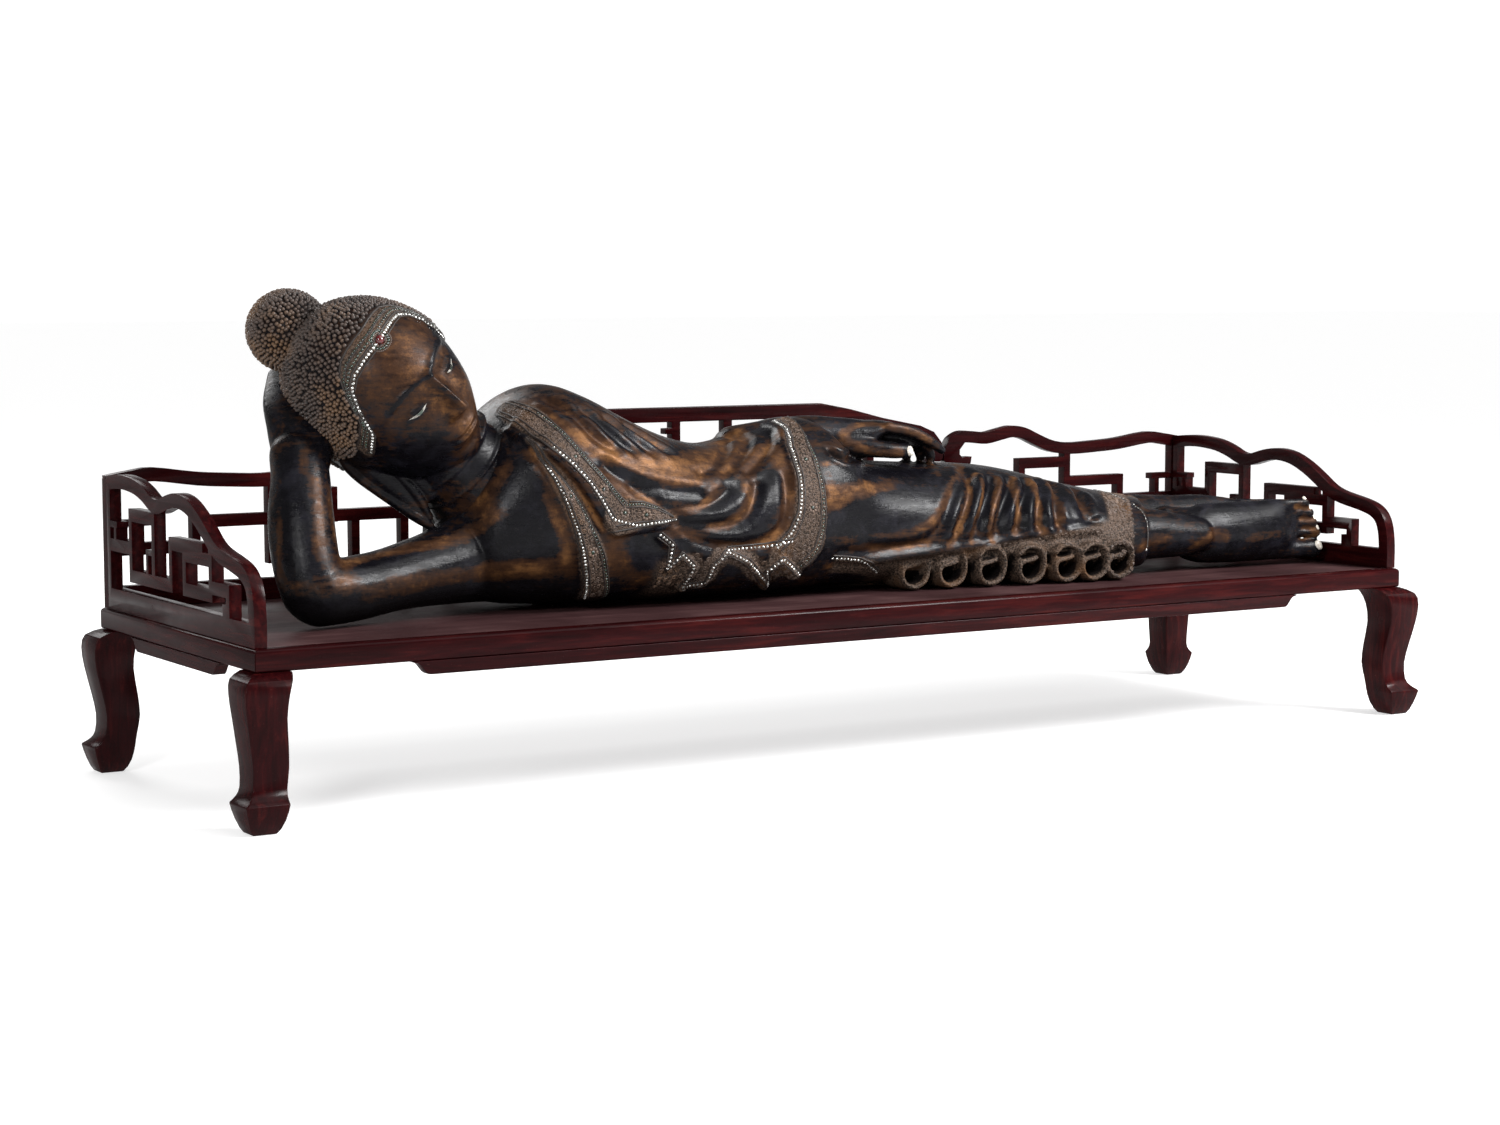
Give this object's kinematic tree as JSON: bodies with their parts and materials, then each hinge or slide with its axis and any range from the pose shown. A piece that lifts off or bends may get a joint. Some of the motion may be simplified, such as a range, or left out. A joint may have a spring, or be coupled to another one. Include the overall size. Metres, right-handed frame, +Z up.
{
  "type": "reclining buddha statue",
  "caption": "Carved wooden buddha lying on its side, head propped on one hand, on a low couch-shaped stand with curved feet and a fretwork rail.",
  "frame": {"origin": "on the floor under the middle of the stand", "axes": "+X along the stand from the head end to the foot end, +Y from the open front to the back rail, +Z up"},
  "size_m": [2.05, 0.628, 0.6947],
  "materials": {
    "polished_dark_wood": "polished dark red",
    "matt_dark_board": "matt dark brown",
    "lacquered_carved_wood": "black lacquer over worn gilding"
  },
  "bodies": {
    "root": {"frame_front": "polished_dark_wood", "frame_back": "polished_dark_wood", "frame_left": "polished_dark_wood", "frame_right": "polished_dark_wood", "top_panel": "matt_dark_board", "apron_front": "polished_dark_wood", "apron_back": "polished_dark_wood", "apron_left": "polished_dark_wood", "apron_right": "polished_dark_wood", "rail_left": "polished_dark_wood", "rail_right": "polished_dark_wood", "rail_back_left": "polished_dark_wood", "rail_back_right": "polished_dark_wood", "rail_back_centre": "polished_dark_wood", "leg_front_left": "polished_dark_wood", "leg_front_right": "polished_dark_wood", "leg_back_left": "polished_dark_wood", "leg_back_right": "polished_dark_wood", "buddha_figure": "lacquered_carved_wood"}
  },
  "joints": []
}
